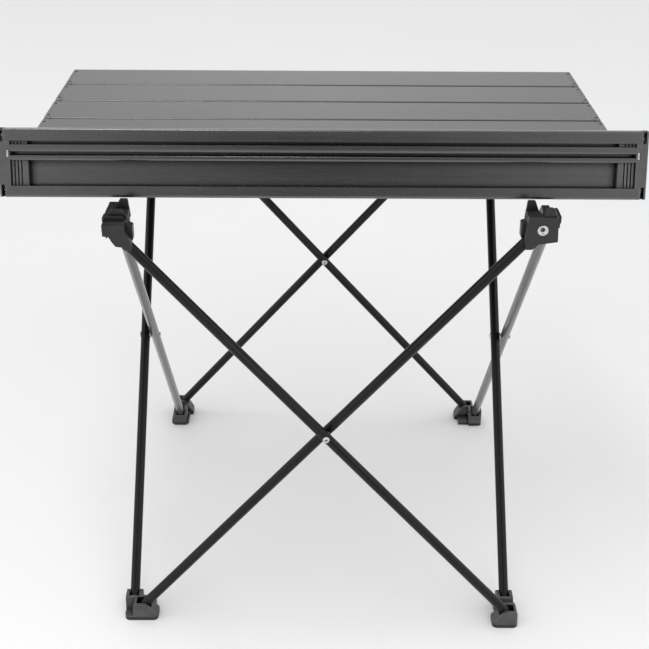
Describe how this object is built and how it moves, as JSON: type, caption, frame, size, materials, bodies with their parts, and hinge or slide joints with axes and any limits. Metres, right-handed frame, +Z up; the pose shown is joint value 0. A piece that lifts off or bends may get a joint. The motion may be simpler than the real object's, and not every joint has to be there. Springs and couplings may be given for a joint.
{
  "type": "folding side table",
  "caption": "Roll-up slatted camping side table on a four-sided folding scissor frame of thin tubes, with its front slat swung up off the claws.",
  "frame": {"origin": "on the floor, under the middle of the table", "axes": "+X to the right along the slats, +Y from the front slat to the back, +Z up"},
  "size_m": [0.565, 0.4312, 0.4962],
  "materials": {
    "slat_aluminium": "dark anodised, fine brushed along the slat",
    "cap_plastic": "fine moulded grain",
    "tube_aluminium": "black anodised, satin",
    "hub_plastic": "moulded nylon",
    "foot_plastic": "moulded nylon",
    "bright_steel": "rolled and polished",
    "elastic_cord": "braided sheath with light flecks"
  },
  "bodies": {
    "foot_front_left": {"foot_front_left": "foot_plastic", "foot_pins_front_left": "bright_steel"},
    "front_tube_inner": {"front_tube_inner": "tube_aluminium"},
    "front_tube_outer": {"front_tube_outer": "tube_aluminium", "front_scissor_rivet": "bright_steel"},
    "back_tube_inner": {"back_tube_inner": "tube_aluminium"},
    "back_tube_outer": {"back_tube_outer": "tube_aluminium", "back_scissor_rivet": "bright_steel"},
    "left_tube_inner": {"left_tube_inner": "tube_aluminium"},
    "left_tube_outer": {"left_tube_outer": "tube_aluminium", "left_scissor_rivet": "bright_steel"},
    "right_tube_inner": {"right_tube_inner": "tube_aluminium"},
    "right_tube_outer": {"right_tube_outer": "tube_aluminium", "right_scissor_rivet": "bright_steel"},
    "hub_front_left": {"hub_front_left": "hub_plastic", "hub_pins_front_left": "bright_steel"},
    "hub_front_right": {"hub_front_right": "hub_plastic", "hub_pins_front_right": "bright_steel"},
    "foot_front_right": {"foot_front_right": "foot_plastic", "foot_pins_front_right": "bright_steel"},
    "hub_back_left": {"hub_back_left": "hub_plastic", "hub_pins_back_left": "bright_steel"},
    "foot_back_left": {"foot_back_left": "foot_plastic", "foot_pins_back_left": "bright_steel"},
    "hub_back_right": {"hub_back_right": "hub_plastic", "hub_pins_back_right": "bright_steel"},
    "foot_back_right": {"foot_back_right": "foot_plastic", "foot_pins_back_right": "bright_steel"},
    "slat_1": {"slat_1": "slat_aluminium", "end_caps_1": "cap_plastic", "elastic_cords_1": "elastic_cord", "cap_staples_1": "bright_steel", "cord_knots_front": "elastic_cord"},
    "slat_2": {"slat_2": "slat_aluminium", "end_caps_2": "cap_plastic", "elastic_cords_2": "elastic_cord", "cap_staples_2": "bright_steel"},
    "slat_3": {"slat_3": "slat_aluminium", "end_caps_3": "cap_plastic", "elastic_cords_3": "elastic_cord", "cap_staples_3": "bright_steel"},
    "slat_4": {"slat_4": "slat_aluminium", "end_caps_4": "cap_plastic", "elastic_cords_4": "elastic_cord", "cap_staples_4": "bright_steel"},
    "slat_5": {"slat_5": "slat_aluminium", "end_caps_5": "cap_plastic", "elastic_cords_5": "elastic_cord", "cap_staples_5": "bright_steel"},
    "slat_6": {"slat_6": "slat_aluminium", "end_caps_6": "cap_plastic", "elastic_cords_6": "elastic_cord", "cap_staples_6": "bright_steel"},
    "slat_7": {"slat_7": "slat_aluminium", "end_caps_7": "cap_plastic", "elastic_cords_7": "elastic_cord", "cap_staples_7": "bright_steel", "cord_knots_rear": "elastic_cord"}
  },
  "joints": [
    {"name": "frame_fold", "type": "hinge", "parent": "foot_front_left", "child": "front_tube_inner", "pos_m": [-0.18, -0.19625, 0.011], "axis": [0, -1, 0], "range_deg": [0, 37.5]},
    {"name": "front_scissor", "type": "hinge", "parent": "front_tube_inner", "child": "front_tube_outer", "pos_m": [0.004, -0.2015, 0.218], "axis": [0, 1, 0], "range_deg": [0, 75.1]},
    {"name": "front_left_hub_pivot", "type": "hinge", "parent": "front_tube_outer", "child": "hub_front_left", "pos_m": [-0.18, -0.20675, 0.425], "axis": [0, -1, 0], "range_deg": [0, 37.6]},
    {"name": "front_right_foot_pivot", "type": "hinge", "parent": "front_tube_outer", "child": "foot_front_right", "pos_m": [0.188, -0.20675, 0.011], "axis": [0, -1, 0], "range_deg": [0, 37.6]},
    {"name": "front_right_hub_pivot", "type": "hinge", "parent": "front_tube_inner", "child": "hub_front_right", "pos_m": [0.188, -0.19625, 0.425], "axis": [0, 1, 0], "range_deg": [0, 37.6]},
    {"name": "left_fold", "type": "hinge", "parent": "foot_front_left", "child": "left_tube_outer", "pos_m": [-0.18875, -0.184, 0.011], "axis": [1, 0, 0], "range_deg": [0, 37.6]},
    {"name": "left_scissor", "type": "hinge", "parent": "left_tube_outer", "child": "left_tube_inner", "pos_m": [-0.1835, 0, 0.218], "axis": [-1, 0, 0], "range_deg": [0, 75.1]},
    {"name": "back_left_foot_pivot", "type": "hinge", "parent": "left_tube_inner", "child": "foot_back_left", "pos_m": [-0.17825, 0.184, 0.011], "axis": [1, 0, 0], "range_deg": [0, 37.6]},
    {"name": "back_left_hub_pivot", "type": "hinge", "parent": "left_tube_outer", "child": "hub_back_left", "pos_m": [-0.18875, 0.184, 0.425], "axis": [-1, 0, 0], "range_deg": [0, 37.6]},
    {"name": "right_fold", "type": "hinge", "parent": "foot_front_right", "child": "right_tube_inner", "pos_m": [0.18625, -0.184, 0.011], "axis": [1, 0, 0], "range_deg": [0, 37.6]},
    {"name": "right_scissor", "type": "hinge", "parent": "right_tube_inner", "child": "right_tube_outer", "pos_m": [0.1915, 0, 0.218], "axis": [-1, 0, 0], "range_deg": [0, 75.1]},
    {"name": "back_right_foot_pivot", "type": "hinge", "parent": "right_tube_outer", "child": "foot_back_right", "pos_m": [0.19675, 0.184, 0.011], "axis": [1, 0, 0], "range_deg": [0, 37.6]},
    {"name": "back_right_hub_pivot", "type": "hinge", "parent": "right_tube_inner", "child": "hub_back_right", "pos_m": [0.18625, 0.184, 0.425], "axis": [-1, 0, 0], "range_deg": [0, 37.6]},
    {"name": "back_fold", "type": "hinge", "parent": "foot_back_right", "child": "back_tube_inner", "pos_m": [0.188, 0.19625, 0.011], "axis": [0, 1, 0], "range_deg": [0, 37.6]},
    {"name": "back_scissor", "type": "hinge", "parent": "back_tube_inner", "child": "back_tube_outer", "pos_m": [0.004, 0.2015, 0.218], "axis": [0, -1, 0], "range_deg": [0, 75.1]},
    {"name": "top_lift", "type": "slide", "parent": "hub_back_left", "child": "slat_7", "axis": [0, 0, 1], "range_m": [0, 0.135]},
    {"name": "slat_6_hinge", "type": "hinge", "parent": "slat_7", "child": "slat_6", "pos_m": [0, 0.1475, 0.4425], "axis": [-1, 0, 0], "range_deg": [0, 50]},
    {"name": "slat_5_hinge", "type": "hinge", "parent": "slat_6", "child": "slat_5", "pos_m": [0, 0.086, 0.4425], "axis": [-1, 0, 0], "range_deg": [0, 50]},
    {"name": "slat_4_hinge", "type": "hinge", "parent": "slat_5", "child": "slat_4", "pos_m": [0, 0.0245, 0.4425], "axis": [-1, 0, 0], "range_deg": [0, 50]},
    {"name": "slat_3_hinge", "type": "hinge", "parent": "slat_4", "child": "slat_3", "pos_m": [0, -0.037, 0.4425], "axis": [-1, 0, 0], "range_deg": [0, 50]},
    {"name": "slat_2_hinge", "type": "hinge", "parent": "slat_3", "child": "slat_2", "pos_m": [0, -0.0985, 0.4425], "axis": [-1, 0, 0], "range_deg": [0, 50]},
    {"name": "slat_1_hinge", "type": "hinge", "parent": "slat_2", "child": "slat_1", "pos_m": [0, -0.16, 0.4425], "axis": [-1, 0, 0], "range_deg": [-104, 0]}
  ],
  "couplings": [
    {"joint": "front_scissor", "follows": "frame_fold", "ratio": 2},
    {"joint": "front_left_hub_pivot", "follows": "frame_fold", "ratio": 1},
    {"joint": "front_right_foot_pivot", "follows": "frame_fold", "ratio": 1},
    {"joint": "front_right_hub_pivot", "follows": "frame_fold", "ratio": 1},
    {"joint": "left_fold", "follows": "frame_fold", "ratio": 1},
    {"joint": "left_scissor", "follows": "frame_fold", "ratio": 2},
    {"joint": "back_left_foot_pivot", "follows": "frame_fold", "ratio": 1},
    {"joint": "back_left_hub_pivot", "follows": "frame_fold", "ratio": 1},
    {"joint": "right_fold", "follows": "frame_fold", "ratio": 1},
    {"joint": "right_scissor", "follows": "frame_fold", "ratio": 2},
    {"joint": "back_right_foot_pivot", "follows": "frame_fold", "ratio": 1},
    {"joint": "back_right_hub_pivot", "follows": "frame_fold", "ratio": 1},
    {"joint": "back_fold", "follows": "frame_fold", "ratio": 1},
    {"joint": "back_scissor", "follows": "frame_fold", "ratio": 2},
    {"joint": "top_lift", "follows": "frame_fold", "m_per_rad": 0.2}
  ]
}
